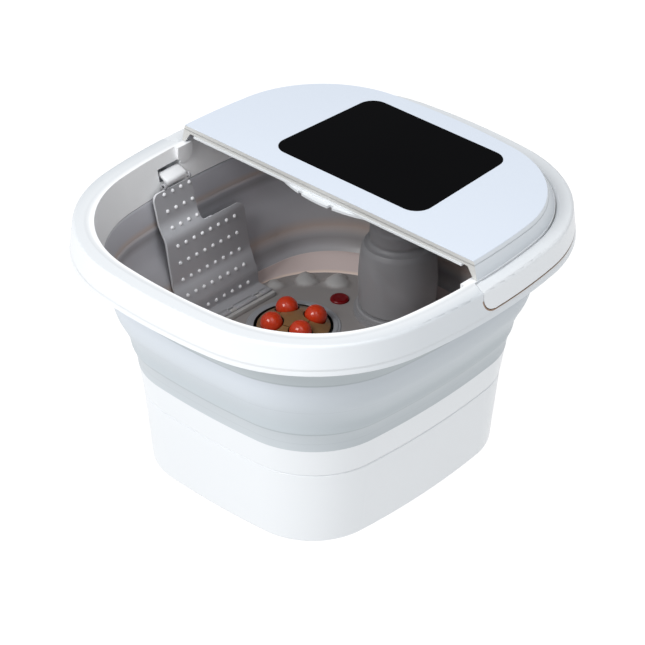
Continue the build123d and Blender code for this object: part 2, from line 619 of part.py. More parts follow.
for name, side in SIDES:
    middle = Location((side * ROLLER_X, ROLLER_Y, 0))

    # Cup let into the floor, with a low stepped flange.
    with BuildPart() as roller_seat:
        with BuildSketch(Plane.XZ):
            with BuildLine():
                Polyline(
                    (BUSH_R + 0.1, SEAT_LOW),
                    (WELL_R, SEAT_LOW),
                    (WELL_R, FLOOR_TOP),
                    (SEAT_R, FLOOR_TOP),
                    (SEAT_R - 0.8, FLOOR_TOP + 0.9),
                    (SEAT_BORE + 5, FLOOR_TOP + 1),
                    (SEAT_BORE + 4.5, SEAT_TOP),
                    (SEAT_BORE + 0.6, SEAT_TOP - 0.4),
                    (SEAT_BORE, SEAT_TOP - 1),
                    (SEAT_BORE, SEAT_FLOOR),
                    (BUSH_R + 0.1, SEAT_FLOOR),
                    close=True,
                )
            make_face()
        revolve(axis=Axis.Z)
    finish(roller_seat.part.moved(middle), f"{name}_roller_seat")

    with BuildPart() as roller_disc:
        post(side * ROLLER_X, ROLLER_Y, DISC_LOW, DISC_SEAM, DISC_R)
        for place in ball_places(side):
            with Locations(place):
                Sphere(BALL_R + BALL_SOCKET, mode=Mode.SUBTRACT)
        post(side * ROLLER_X, ROLLER_Y, DISC_LOW - 1, DISC_LOW + 7.5, SHAFT_R + GEAR_FIT, mode=Mode.SUBTRACT)
    finish(roller_disc.part, f"{name}_roller_disc")

    with BuildPart() as ball_dome:
        with BuildSketch(Plane.XZ):
            with BuildLine():
                Polyline((0, DOME_TOP), (0, DISC_SEAM + 0.05), (DISC_R, DISC_SEAM + 0.05), (DISC_R, DOME_EDGE))
                TangentArc((0, DOME_TOP), (DISC_R, DOME_EDGE), tangent=(1, 0))
            make_face()
        revolve(axis=Axis.Z)
    with BuildPart() as ball_retainer:
        add(ball_dome.part.moved(middle))
        for x, y, z in ball_places(side):
            with Locations((x, y, z)):
                Sphere(BALL_R + BALL_SOCKET, mode=Mode.SUBTRACT)
            post(x, y, CUP_LOW, DOME_TOP + 2, CUP_R, mode=Mode.SUBTRACT)
        # Seams from cup to cup.
        for angle in BALL_ANGLES:
            turn = radians(angle + 45)
            reach = BALL_PITCH * cos(pi / 4)
            seam_x, seam_y = side * (ROLLER_X - reach * cos(turn)), ROLLER_Y + reach * sin(turn)
            with Locations(Location((seam_x, seam_y, SEAM_LOW + 3), (0, 0, 90 - side * (angle + 45)))):
                Box(SEAM_LONG, SEAM_WIDE, 6, mode=Mode.SUBTRACT)
        post(side * ROLLER_X, ROLLER_Y, DISC_SEAM - 1, DISC_LOW + 7.5, SHAFT_R + GEAR_FIT, mode=Mode.SUBTRACT)
    finish(ball_retainer.part, f"{name}_ball_retainer")

    for number, place in enumerate(ball_places(side), start=1):
        with BuildPart() as ball:
            with Locations(place):
                Sphere(BALL_R)
        finish(ball.part, f"{name}_ball_{number}")

    with BuildPart() as roller_shaft:
        post(side * ROLLER_X, ROLLER_Y, 60, DISC_LOW + 7, SHAFT_R)
    finish(roller_shaft.part, f"{name}_roller_shaft")

    finish(gear(GEAR_TEETH, SHAFT_R + GEAR_FIT, GEAR_LOW, GEAR_HIGH, 0).moved(middle), f"{name}_roller_gear")

with BuildPart() as shaft_bushes:
    for name, side in SIDES:
        post(side * ROLLER_X, ROLLER_Y, BUSH_LOW, SEAT_FLOOR, BUSH_R)
        post(side * ROLLER_X, ROLLER_Y, BUSH_LOW - 1, SEAT_FLOOR + 1, SHAFT_R + 0.06, mode=Mode.SUBTRACT)
finish(shaft_bushes.part, "shaft_bushes")

# ---- drive under the floor ---------------------------------------------------------------------
FRAME_LOW, FRAME_HIGH = 62.0, 65.0
FRAME_POSTS = [(-108, ROLLER_Y), (108, ROLLER_Y), (0, -34), (0, 70)]
MOTOR_R, MOTOR_SHAFT_R = 21.0, 2.5

with BuildPart() as gear_frame:
    block((-114, ROLLER_Y - 11, FRAME_LOW), (114, ROLLER_Y + 11, FRAME_HIGH))
    block((-12, -40, FRAME_LOW), (12, 76, FRAME_HIGH))
    fillet(gear_frame.edges().filter_by(Axis.Z), 4)
    for x, y in FRAME_POSTS:
        post(x, y, FRAME_HIGH - 1, FLOOR_TOP - FLOOR_THICK, 4.2)
        post(x, y, FRAME_LOW - 1, 80, 1.65, mode=Mode.SUBTRACT)
    for side in (-1, 1):
        post(side * ROLLER_X, ROLLER_Y, FRAME_LOW - 1, FRAME_HIGH + 1, SHAFT_R + 0.06, mode=Mode.SUBTRACT)
    post(0, ROLLER_Y, FRAME_LOW - 1, FRAME_HIGH + 1, 6, mode=Mode.SUBTRACT)
finish(gear_frame.part, "gear_frame")

with BuildPart() as frame_screws:
    for x, y in FRAME_POSTS:
        post(x, y, FRAME_LOW - 2.2, FRAME_LOW, 3.4)
        post(x, y, FRAME_LOW - 1, 78, 1.5)
finish(frame_screws.part, "frame_screws")

with BuildPart() as motor:
    post(0, ROLLER_Y, 20, FRAME_LOW, MOTOR_R)
    fillet(motor.edges().group_by(Axis.Z)[0], 3)
    post(0, ROLLER_Y, 40, FRAME_LOW + 1, MOTOR_SHAFT_R + 0.06, mode=Mode.SUBTRACT)
finish(motor.part, "motor")

with BuildPart() as motor_shaft:
    post(0, ROLLER_Y, 41, GEAR_HIGH + 2, MOTOR_SHAFT_R)
finish(motor_shaft.part, "motor_shaft")
half_pitch = 180 / PINION_TEETH
pinion = gear(PINION_TEETH, MOTOR_SHAFT_R + GEAR_FIT, GEAR_LOW - 1, GEAR_HIGH + 1, half_pitch)
finish(pinion.moved(Location((0, ROLLER_Y, 0))), "drive_pinion")

with BuildPart() as heater:
    block((-42, -80, 89), (42, -46, FLOOR_TOP - FLOOR_THICK))
    fillet(heater.edges().filter_by(Axis.Z), 4)
finish(heater.part, "heater")

with BuildPart() as thermostat:
    post(0, -63, 80, 89, 8)
    block((-12, -66, 78), (12, -60, 80))
finish(thermostat.part, "thermostat")

with BuildPart() as power_board:
    block((-88, 46, 30), (-20, 120, 31.6))
    for x, y, size, tall in ((-75, 105, 22, 24), (-40, 100, 18, 20), (-75, 65, 14, 16), (-42, 62, 24, 12)):
        block((x - size / 2, y - size / 2, 31.5), (x + size / 2, y + size / 2, 31.6 + tall))
finish(power_board.part, "power_board")

with BuildPart() as mains_inlet:
    block((-61.5, 124, 18.5), (-34.5, 148, 37.5))
    for x in (-53, -43):
        with Locations(Location((x, 143, 28), (90, 0, 0))):
            Cylinder(5.5, 14, mode=Mode.SUBTRACT)
    block((-53, 136, 22.5), (-43, 150, 33.5), mode=Mode.SUBTRACT)
    for x in (-51.5, -44.5):
        bar_y(x, 28, 134, 145, 1.2)
finish(mains_inlet.part, "mains_inlet")

# ---- side support plates -----------------------------------------------------------------------
PLATE_THICK = 2.4
NECK_BACK = -9.0
PLATE_PATH = [
    (HINGE_X, HINGE_Z), (129.5, HINGE_Z), (130.5, 119), (137, 133),
    (141, 142), (149, 188), (157.5, 202), (166.2, 236),
]
WIDE_TOP = 190.0
TAB_X, TAB_Z = 166.0, 236.0
TAB_PIN_R = 1.2
TAB_EARS = [(-44.0, LATCH_Y[0] - 0.3), (LATCH_Y[1] + 0.3, NECK_BACK)]
TAB_PROFILE = [
    (163.2, 236), (163.6, 243), (165.2, 244.8), (178.4, 244.8), (178.4, 241.2), (171.5, 240.6), (169, 236),
]
BARREL_R = 3.1

KNUCKLE_GAP = 0.4
hinge_cuts = [(y - KNUCKLE_LONG / 2 - KNUCKLE_GAP, y + KNUCKLE_LONG / 2 + KNUCKLE_GAP) for y in KNUCKLES]
latch_cut = (LATCH_Y[0] - 0.3, LATCH_Y[1] + 0.3)

for name, side in SIDES:
    with BuildPart() as support_plate:
        with BuildSketch(Plane.XZ.offset(-PLATE_BACK)):
            with BuildLine():
                FilletPolyline(*[(side * x, z) for x, z in PLATE_PATH], radius=3.5)
            trace(line_width=PLATE_THICK)
        extrude(amount=PLATE_BACK - PLATE_FRONT)
        low_x, high_x = sorted((side * 140, side * 180))
        block((low_x, NECK_BACK, WIDE_TOP), (high_x, PLATE_BACK + 1, 250), mode=Mode.SUBTRACT)
        bar_y(side * HINGE_X, HINGE_Z, PLATE_FRONT, PLATE_BACK, BARREL_R)
        low_x, high_x = sorted((side * (HINGE_X - 5), side * (HINGE_X + 4.2)))
        for low_y, high_y in hinge_cuts:
            block((low_x, low_y, HINGE_Z - 6), (high_x, high_y, HINGE_Z + 6), mode=Mode.SUBTRACT)
        bore = HINGE_PIN_R + 0.06
        bar_y(side * HINGE_X, HINGE_Z, PLATE_FRONT - 1, PLATE_BACK + 1, bore, mode=Mode.SUBTRACT)
        # Notch in the neck's top, with an ear each side for the latch pin.
        low_x, high_x = sorted((side * 155, side * 175))
        block((low_x, latch_cut[0], TAB_Z - BARREL_R - 1), (high_x, latch_cut[1], 250), mode=Mode.SUBTRACT)
        for low_y, high_y in TAB_EARS:
            bar_y(side * TAB_X, TAB_Z, low_y, high_y, BARREL_R)
            bar_y(side * TAB_X, TAB_Z, low_y - 1, high_y + 1, TAB_PIN_R + GEAR_FIT, mode=Mode.SUBTRACT)
    finish(support_plate.part, f"{name}_support_plate")

    with BuildPart() as latch_tab:
        with BuildSketch(Plane.XZ.offset(-LATCH_Y[1])):
            with BuildLine():
                Polyline(*[(side * x, z) for x, z in TAB_PROFILE], close=True)
            make_face()
        extrude(amount=LATCH_Y[1] - LATCH_Y[0])
        bar_y(side * TAB_X, TAB_Z, LATCH_Y[0], LATCH_Y[1], BARREL_R - 0.1)
        bar_y(side * TAB_X, TAB_Z, LATCH_Y[0] - 1, LATCH_Y[1] + 1, TAB_PIN_R + 0.06, mode=Mode.SUBTRACT)
    finish(latch_tab.part, f"{name}_latch_tab")

    with BuildPart() as latch_pin:
        bar_y(side * TAB_X, TAB_Z, TAB_EARS[0][0], TAB_EARS[1][1], TAB_PIN_R)
    finish(latch_pin.part, f"{name}_latch_pin")

    with BuildPart() as hinge_pin:
        bar_y(side * HINGE_X, HINGE_Z, PLATE_FRONT, PLATE_BACK, HINGE_PIN_R)
    finish(hinge_pin.part, f"{name}_hinge_pin")
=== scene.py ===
"""Folding foot spa basin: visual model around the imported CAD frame. Metres, +Z up, half lid at +Y."""
import json

import bmesh
import bpy
import numpy as np
from mathutils import Matrix, Vector


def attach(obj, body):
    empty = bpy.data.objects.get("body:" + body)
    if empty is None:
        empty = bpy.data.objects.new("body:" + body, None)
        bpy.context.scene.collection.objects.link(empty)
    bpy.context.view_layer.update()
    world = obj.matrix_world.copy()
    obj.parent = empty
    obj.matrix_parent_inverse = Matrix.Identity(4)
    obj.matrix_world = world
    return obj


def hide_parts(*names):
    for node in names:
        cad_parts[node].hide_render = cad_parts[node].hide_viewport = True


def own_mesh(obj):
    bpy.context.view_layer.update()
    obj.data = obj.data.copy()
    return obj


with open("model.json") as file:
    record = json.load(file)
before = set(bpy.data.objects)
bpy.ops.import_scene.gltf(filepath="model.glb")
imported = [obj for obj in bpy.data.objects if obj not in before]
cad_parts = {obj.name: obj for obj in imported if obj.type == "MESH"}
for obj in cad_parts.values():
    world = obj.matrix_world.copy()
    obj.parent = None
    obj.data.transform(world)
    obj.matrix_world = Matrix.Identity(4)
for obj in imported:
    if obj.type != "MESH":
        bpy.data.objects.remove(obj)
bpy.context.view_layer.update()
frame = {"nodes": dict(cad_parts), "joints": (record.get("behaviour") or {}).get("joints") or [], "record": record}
MM = 0.001

# ---- shader toolkit --------------------------------------------------------------------------


class Wire:
    """A shader socket that takes part in sums like a number."""

    def __init__(self, finish, socket):
        self.finish = finish
        self.socket = socket

    def maths(self, operation, *values):
        return self.finish.node("Math", {"operation": operation}, dict(enumerate(values)))

    def __add__(self, other):
        return self.maths("ADD", self, other)

    def __radd__(self, other):
        return self.maths("ADD", other, self)

    def __sub__(self, other):
        return self.maths("SUBTRACT", self, other)

    def __rsub__(self, other):
        return self.maths("SUBTRACT", other, self)

    def __mul__(self, other):
        return self.maths("MULTIPLY", self, other)

    def __rmul__(self, other):
        return self.maths("MULTIPLY", other, self)

    def __truediv__(self, other):
        return self.maths("DIVIDE", self, other)

    def __rtruediv__(self, other):
        return self.maths("DIVIDE", other, self)

    def __pow__(self, other):
        return self.maths("POWER", self, other)

    def __abs__(self):
        return self.maths("ABSOLUTE", self)

    def at_most(self, limit):
        """The value, or the limit where the value is more."""
        return self.maths("MINIMUM", self, limit)

    def held(self):
        """The value kept between 0 and 1."""
        return self.maths("MAXIMUM", self, 0.0).at_most(1.0)

    def step(self, start, end):
        """0 below start, 1 above end, straight in between."""
        return ((self - start) / (end - start)).held()


class Finish:
    """One procedural material, built node by node."""

    def __init__(self, name):
        self.material = bpy.data.materials.new(name)
        self.material.use_nodes = True
        self.tree = self.material.node_tree
        self.tree.nodes.clear()
        self.place = self.node("TexCoord", output="Object")

    def node(self, kind, settings=None, sockets=None, output=0):
        """Adds a node: its settings first, then the values or links of its sockets."""
        made = self.tree.nodes.new("ShaderNode" + kind)
        for key, value in (settings or {}).items():
            setattr(made, key, value)
        for key, value in (sockets or {}).items():
            self.feed(made.inputs[key], value)
        return Wire(self, made.outputs[output])

    def feed(self, socket, value):
        if isinstance(value, Wire):
            self.tree.links.new(value.socket, socket)
        elif isinstance(value, tuple) and len(value) == 3 and socket.type == "RGBA":
            socket.default_value = (*value, 1.0)
        else:
            socket.default_value = value

    def noise(self, scale, detail, roughness=0.5):
        """Uneven value between 0 and 1; scale is patches in a metre."""
        sockets = {"Vector": self.place, "Scale": scale, "Detail": detail, "Roughness": roughness}
        return self.node("TexNoise", sockets=sockets)

    def drift(self, scale=7.0, detail=1.0):
        """Slow change from 0 to 1 and back over the piece."""
        return self.noise(scale, detail).step(0.3, 0.7)

    def uneven(self, roughness):
        """This roughness, a little more in some places and a little less in others."""
        return roughness + (self.noise(25.0, 2.0) - 0.5) * 0.06

    def mix(self, share, first, second):
        """Colour between two colours."""
        return self.node("Mix", {"data_type": "RGBA"}, {0: share, 6: first, 7: second}, output=2)

    def axis(self, name):
        """One coordinate of the place."""
        return self.node("SeparateXYZ", sockets={0: self.place}, output=name)

    def bump(self, height, depth, strength=1.0, under=None):
        """Normal from a height between 0 and 1, depth metres deep."""
        sockets = {"Strength": strength, "Distance": depth, "Height": height}
        if under:
            sockets["Normal"] = under
        return self.node("Bump", sockets=sockets)

    def done(self, sockets):
        """The shader with these values, joined to the output."""
        self.join(self.node("BsdfPrincipled", sockets=sockets))
        return self.material

    def join(self, shader):
        made = self.tree.nodes.new("ShaderNodeOutputMaterial")
        self.tree.links.new(shader.socket, made.inputs["Surface"])


POLISH = 0.12                # roughness of a clear coat
PLASTIC_IOR = 1.46


def surfaced(f, tone, roughness, grain, spots, settings=None):
    """The shader of a moulded surface: this colour, uneven gloss and a grain so many metres deep with so many
    spots in a metre."""
    fine = f.bump(f.noise(spots, 2.0), grain, 0.5)
    return f.done({"Base Color": tone, "Roughness": f.uneven(roughness), "Normal": fine} | (settings or {}))


def moulded(name, colour, shade, roughness, grain=0.00001, coat=0.0, ior=PLASTIC_IOR, spots=1500.0):
    """Moulded plastic: slow drift of tone, grain and gloss."""
    f = Finish(name)
    settings = {"IOR": ior, "Coat Weight": coat, "Coat Roughness": POLISH}
    return surfaced(f, f.mix(f.drift(), shade, colour), roughness, grain, spots, settings)


def bell(value, middle, half):
    """1 at the middle, 0 from half away on."""
    return 1 - abs(value - middle).step(0.0, half)


WHITE, WHITE_SHADE = (0.765, 0.79, 0.815), (0.755, 0.78, 0.805)
BLACK = (0.006, 0.0055, 0.005)
LIP_Z = 238.6                # the rim's lower lip starts here
PIVOT_Y, PIVOT_Z = 2.0, 256.0
HANDLE_GAP_R = 15.0          # the gap under the handle runs at this distance below and in front of its pivots
FINE_GRAIN, LINE_DEEP = 0.000006, 0.0007       # metres


def rim_white():
    """White plastic, painted lighter inside the ring as light and duller at its two sides as shade, with a low lip
    along its foot and a painted brown shadow in the gap under the handle."""
    f = Finish("rim_white")
    x, y, z = (f.axis(name) / MM for name in "XYZ")
    ahead = (y - PIVOT_Y).at_most(0.0)
    away = (ahead * ahead + (z - PIVOT_Z) * (z - PIVOT_Z)) ** 0.5
    outward = (abs(x) / 185.0) ** 3.0 + (abs(y) / 203.0) ** 3.0      # 1 near the ring's top, more outside it
    # painted shadow: brown in the gap under the handle
    gap = bell(away, HANDLE_GAP_R, 1.4).step(0.1, 0.5) * outward.step(1.23, 1.27)
    gap = gap * (PIVOT_Z - z).step(1.0, 2.0) * (y - PIVOT_Y).step(-17.0, -16.0)
    lip = z.step(LIP_Z - 1.0, LIP_Z + 1.0) * outward.step(0.96, 1.02)
    tone = f.mix(f.drift(), WHITE_SHADE, WHITE)
    # painted light: the rim lighter inside the ring
    tone = f.mix(1 - outward.step(0.93, 1.0), tone, (0.95, 0.96, 0.97))
    # painted shade: the outer faces duller towards the tub's two sides
    sides = abs(x).step(140.0, 204.0) * outward.step(1.05, 1.2)
    tone = f.mix(sides * 0.6, tone, (0.56, 0.60, 0.64))
    tone = f.mix(gap, tone, (0.25, 0.15, 0.09))
    fine = f.bump(f.noise(1800.0, 1.0), FINE_GRAIN, 0.5)
    return f.done({
        "Base Color": tone, "Roughness": f.uneven(0.32), "Normal": f.bump(lip, LINE_DEEP, 1.0, fine),
        "Coat Weight": 0.15, "Coat Roughness": POLISH,
    })


LID_CREASE = 276.4           # the lid's steep top band ends and its wide slope begins


def lid_plastic():
    """Bluish satin white with a crease round the slope, painted darker along it as shade; the front fascia is a
    plain warm grey white.
    """
    f = Finish("lid_white")
    y, z = f.axis("Y") / MM, f.axis("Z") / MM
    top = f.mix(f.drift(), (0.70, 0.76, 0.855), (0.71, 0.77, 0.86))
    slope = f.mix(1 - z.step(280.2, 280.8), top, (0.68, 0.72, 0.76))
    # painted shade: a darker line along the crease
    slope = f.mix(bell(z, LID_CREASE, 1.0) * 0.5, slope, (0.45, 0.48, 0.50))
    front = (1 - y.step(-0.8, -0.4)) * (1 - z.step(280.0, 280.6))
    tone = f.mix(front, slope, (0.62, 0.62, 0.60))
    fine = f.bump(f.noise(1800.0, 1.0), FINE_GRAIN, 0.5)
    crease = f.bump(z.step(LID_CREASE - 0.6, LID_CREASE + 0.6), LINE_DEEP, 1.0, fine)
    return f.done({"Base Color": tone, "Roughness": f.uneven(0.36), "Normal": crease, "IOR": PLASTIC_IOR})


def folding_rubber(low_fold, high_fold):
    """Pale bluish rubber outside, its bands painted lighter or darker for the light on them, with painted shade at
    the folds and towards the tub's two sides; the inside painted darker as shade and lighter at the sides as
    light, with brown painted highlights above the folds and painted shade below them."""
    f = Finish("folding_rubber")
    inside = f.node("Attribute", {"attribute_name": "lining"}, output="Fac")
    z = f.axis("Z") / MM
    drift = f.drift(9.0, 2.0)
    # painted light and shade: each outer band its own tone, the middle band lighter towards its top
    upper = f.mix(drift, (0.475, 0.52, 0.545), (0.50, 0.545, 0.57))
    middle = f.mix(z.step(low_fold + 8, high_fold - 12), (0.49, 0.54, 0.575), (0.62, 0.665, 0.72))
    lower = f.mix(drift, (0.50, 0.545, 0.58), (0.53, 0.57, 0.60))
    skin = f.mix(z.step(high_fold - 0.3, high_fold + 0.3), middle, upper)
    skin = f.mix(z.step(low_fold - 0.3, low_fold + 0.3), lower, skin)
    # painted shade along the two folds, and two fine dark lines at 165 and 121 mm
    fold_shade_and_lines = bell(z, low_fold, 1.6) + bell(z, high_fold, 1.6)
    fold_shade_and_lines = fold_shade_and_lines + bell(z, 165.0, 0.7) * 0.35 + bell(z, 121.0, 0.7) * 0.3
    skin = f.mix(fold_shade_and_lines.held() * 0.6, skin, (0.27, 0.31, 0.33))
    # painted shade: the outside duller towards the tub's two sides
    sides = abs(f.axis("X") / MM).step(90.0, 180.0)
    skin = f.mix(sides * 0.5, skin, (0.34, 0.38, 0.40))
    # painted shade: the lining darker than the outside; painted light: lighter towards the two sides
    lining = f.mix(drift, (0.37, 0.36, 0.365), (0.40, 0.39, 0.395))
    lining = f.mix(sides * 0.7, lining, (0.55, 0.56, 0.62))
    # painted highlight in brown just above each fold; painted shade in a band below each fold
    crease = bell(z, high_fold + 2.5, 5.0) * 0.75 + bell(z, low_fold + 3.0, 9.0) * 0.8
    under = bell(z, high_fold - 7.0, 7.0) + bell(z, low_fold - 9.0, 8.0)
    lining = f.mix(under.held() * 0.4, lining, (0.19, 0.175, 0.175))
    lining = f.mix(crease.held(), lining, (0.52, 0.42, 0.37))
    return surfaced(f, f.mix(inside, skin, lining), 0.42, 0.00008, 1500.0)


def floor_plastic():
    """Warm grey plastic, its bumps painted lighter towards their tops as highlight; the slope round the flat floor
    is pinker and has a bright kerb line.
    """
    f = Finish("floor_grey")
    slope = f.node("Attribute", {"attribute_name": "slope"}, output="Fac")
    drift = f.drift()
    z = f.axis("Z") / MM
    flat = f.mix(drift, (0.26, 0.245, 0.24), (0.28, 0.265, 0.26))
    # painted highlight: the raised bumps lighter with height
    flat = f.mix(z.step(100.6, 102.5), flat, (0.40, 0.395, 0.39))
    bank = f.mix(drift, (0.62, 0.52, 0.50), (0.65, 0.55, 0.53))
    bank = f.mix(bell(z, 100.9, 1.0), bank, (0.82, 0.67, 0.58))
    return surfaced(f, f.mix(slope, flat, bank), 0.38, 0.00004, 900.0)


ROLLER_X, ROLLER_Y = 55.0, 18.0
DOME_TOP, DOME_R = 111.0, 68.6       # crown of the roller's dome and its radius of curvature
SEAT_BORE = 38.2


def roller_square(f):
    """Squared distance, in millimetres, from the nearer roller's axis."""
    x, y = abs(f.axis("X") / MM) - ROLLER_X, f.axis("Y") / MM - ROLLER_Y
    return x * x + y * y


def dome_brown():
    """Brown plastic on the crown; black a little below the crown's curve: painted shade in the cups round the
    balls, and the dark joints between the crown's segments.
    """
    f = Finish("dome_brown")
    square = roller_square(f)
    crown = DOME_TOP - square / (2 * DOME_R) - square * square / (8 * DOME_R**3)
    # black below the crown's curve: painted shade down the cups, dark joints between segments
    deep = (crown - f.axis("Z") / MM).step(0.35, 0.6)
    streak = f.noise(55.0, 4.0, roughness=0.6).step(0.3, 0.7)
    tone = f.mix(deep, f.mix(streak, (0.20, 0.105, 0.04), (0.25, 0.135, 0.055)), BLACK)
    return surfaced(f, tone, 0.32, 0.00005, 700.0, {"Coat Weight": 0.3, "Coat Roughness": 0.15})


def seat_plastic():
    """Bluish grey seat, painted black down its bore as shade."""
    f = Finish("seat_grey")
    # painted shade: black down the bore
    bore = 1 - (roller_square(f) ** 0.5).step(SEAT_BORE + 0.2, SEAT_BORE + 0.5)
    tone = f.mix(f.drift(9.0), (0.27, 0.28, 0.30), (0.30, 0.31, 0.33))
    return surfaced(f, f.mix(bore, tone, BLACK), 0.36, 0.00004, 900.0)


def plate_plastic():
    """Mid grey plastic, painted paler along the plate's two outward bends as highlight."""
    f = Finish("plate_grey")
    z = f.axis("Z") / MM
    # painted highlight along the plate's two bends
    bend_highlight = (bell(z, 195.0, 13.0) * 0.55 + bell(z, 137.0, 9.0) * 0.4).held()
    tone = f.mix(f.drift(), (0.36, 0.36, 0.38), (0.39, 0.39, 0.41))
    return surfaced(f, f.mix(bend_highlight, tone, (0.66, 0.68, 0.72)), 0.33, 0.00001, 1500.0)


LOW_FOLD, HIGH_FOLD = 134.0, 199.0
white_gloss = moulded("white_gloss", WHITE, WHITE_SHADE, 0.32, coat=0.15)
rim_finish = rim_white()
lid_white = lid_plastic()
grey_rubber = folding_rubber(LOW_FOLD, HIGH_FOLD)
floor_grey = floor_plastic()
seat_grey = seat_plastic()
plate_grey = plate_plastic()
# pale material for the plate's rounded edges: painted highlight along them
plate_edge_highlight = moulded("plate_edge_highlight", (0.70, 0.71, 0.73), (0.66, 0.67, 0.69), 0.33)
sleeve_grey = moulded("sleeve_grey", (0.26, 0.26, 0.27), (0.23, 0.23, 0.24), 0.46, grain=0.00008)
nub_white = moulded("nub_white", (0.82, 0.83, 0.85), (0.79, 0.80, 0.82), 0.32)
panel_black = moulded(
    "panel_black", (0.003, 0.003, 0.0035), (0.0025, 0.0025, 0.003), 0.12, grain=0.000001, ior=1.06,
)
# the roller disc's body, seen only down the gap round the crown, painted near black as shade
disc_brown = moulded("disc_brown", (0.03, 0.018, 0.01), (0.02, 0.012, 0.008), 0.5)
crown_brown = dome_brown()
ball_red = moulded("ball_red", (0.62, 0.045, 0.010), (0.50, 0.032, 0.008), 0.2, coat=0.25, ior=1.42)
lens_red = moulded("lens_red", (0.16, 0.001, 0.003), (0.12, 0.001, 0.002), 0.2, coat=0.15, ior=1.3)
foot_rubber = moulded("foot_rubber", (0.30, 0.32, 0.33), (0.26, 0.28, 0.29), 0.7)
inner_plastic = moulded("inner_plastic", (0.55, 0.56, 0.57), (0.5, 0.51, 0.52), 0.45)
gear_plastic = moulded("gear_plastic", (0.72, 0.68, 0.58), (0.66, 0.62, 0.52), 0.42)
board_green = moulded("board_green", (0.02, 0.16, 0.06), (0.015, 0.12, 0.045), 0.4)
black_plastic = moulded("black_plastic", (0.02, 0.02, 0.022), (0.014, 0.014, 0.016), 0.4)
steel = moulded("steel", (0.62, 0.62, 0.63), (0.55, 0.55, 0.56), 0.32)

# ---- carried-over CAD pieces -----------------------------------------------------------------
finishes = {
    "white_gloss": white_gloss, "grey_rubber": grey_rubber, "floor_grey": floor_grey, "seat_grey": seat_grey,
    "plate_grey": plate_grey, "sleeve_grey": sleeve_grey, "panel_black": panel_black, "ball_red": ball_red,
    "disc_brown": disc_brown, "lens_red": lens_red, "foot_rubber": foot_rubber, "steel": steel,
    "inner_plastic": inner_plastic, "gear_plastic": gear_plastic, "board_green": board_green,
    "black_plastic": black_plastic,
}


def paint(piece, material):
    """The piece carries this one material."""
    piece.data.materials.clear()
    piece.data.materials.append(material)


for row in frame["record"]["subparts"]:
    paint(frame["nodes"][row["node"]], finishes[row["material_slot"]])
paint(frame["nodes"]["lid_cover"], lid_white)
paint(frame["nodes"]["rim_frame"], rim_finish)
for retainer in ("left_ball_retainer", "right_ball_retainer"):
    paint(frame["nodes"][retainer], crown_brown)

# ---- outlines of the tub, in millimetres -----------------------------------------------------
# Half length x, half length y, side radius, end radius, corner radius.
BASE_OUTLINE = np.array((141.5, 158.6, 807.0, 792.0, 81.0))
RIM_OUTLINE = np.array((180.5, 198.2, 601.0, 587.0, 126.0))
RIM = RIM_OUTLINE[0] - BASE_OUTLINE[0]
QUARTER = 72                 # points along a quarter of an outline
SIDE_SHARE, END_SHARE = 0.3, 0.7


def spread(amount):
    """Outlines between the base (0) and the rim (RIM), parallel curves beyond; one row for each amount."""
    amount = np.atleast_1d(np.asarray(amount, float))[:, None]
    mix = np.clip(amount / RIM, 0.0, 1.0)
    return BASE_OUTLINE + (RIM_OUTLINE - BASE_OUTLINE) * mix + (amount - mix * RIM)


def loops(outlines):
    """Closed loops of eight tangent arcs. Along a quarter the outward direction turns through the side arc,
    the corner arc and the end arc; a point is its arc's centre plus the arc's radius in that direction."""
    half_x, half_y, side_r, end_r, corner_r = outlines.T[:, :, None]
    side_x, end_y = half_x - side_r, half_y - end_r
    to_side, to_end = side_r - corner_r, end_r - corner_r
    gap = np.hypot(side_x, end_y)
    along = (to_side**2 - to_end**2 + gap**2) / (2 * gap)
    across = np.sqrt(to_side**2 - along**2)
    turn = np.where((-side_x * along + end_y * across) / gap + side_x > 0, 1.0, -1.0)
    corner_x = side_x + (-side_x * along + turn * end_y * across) / gap
    corner_y = (end_y * along + turn * side_x * across) / gap
    first = np.arctan2(corner_y, corner_x - side_x)
    last = np.arctan2(corner_y - end_y, corner_x)
    around = np.arange(4 * QUARTER) / QUARTER
    quarter = around.astype(int)
    part = around - quarter
    share = np.where(quarter % 2 == 1, 1 - part, part)[None, :]
    on_side, on_end = share < SIDE_SHARE, share >= END_SHARE
    direction = np.where(
        on_side, first * share / SIDE_SHARE,
        np.where(
            on_end, last + (np.pi / 2 - last) * (share - END_SHARE) / (1 - END_SHARE),
            first + (last - first) * (share - SIDE_SHARE) / (END_SHARE - SIDE_SHARE),
        ),
    )
    radius = np.where(on_side, side_r, np.where(on_end, end_r, corner_r))
    x = np.where(on_side, side_x, np.where(on_end, 0.0, corner_x)) + radius * np.cos(direction)
    y = np.where(on_side, 0.0, np.where(on_end, end_y, corner_y)) + radius * np.sin(direction)
    sign_x = np.where((quarter == 0) | (quarter == 3), 1.0, -1.0)
    sign_y = np.where(quarter < 2, 1.0, -1.0)
    return x * sign_x, y * sign_y


# ---- profiles --------------------------------------------------------------------------------


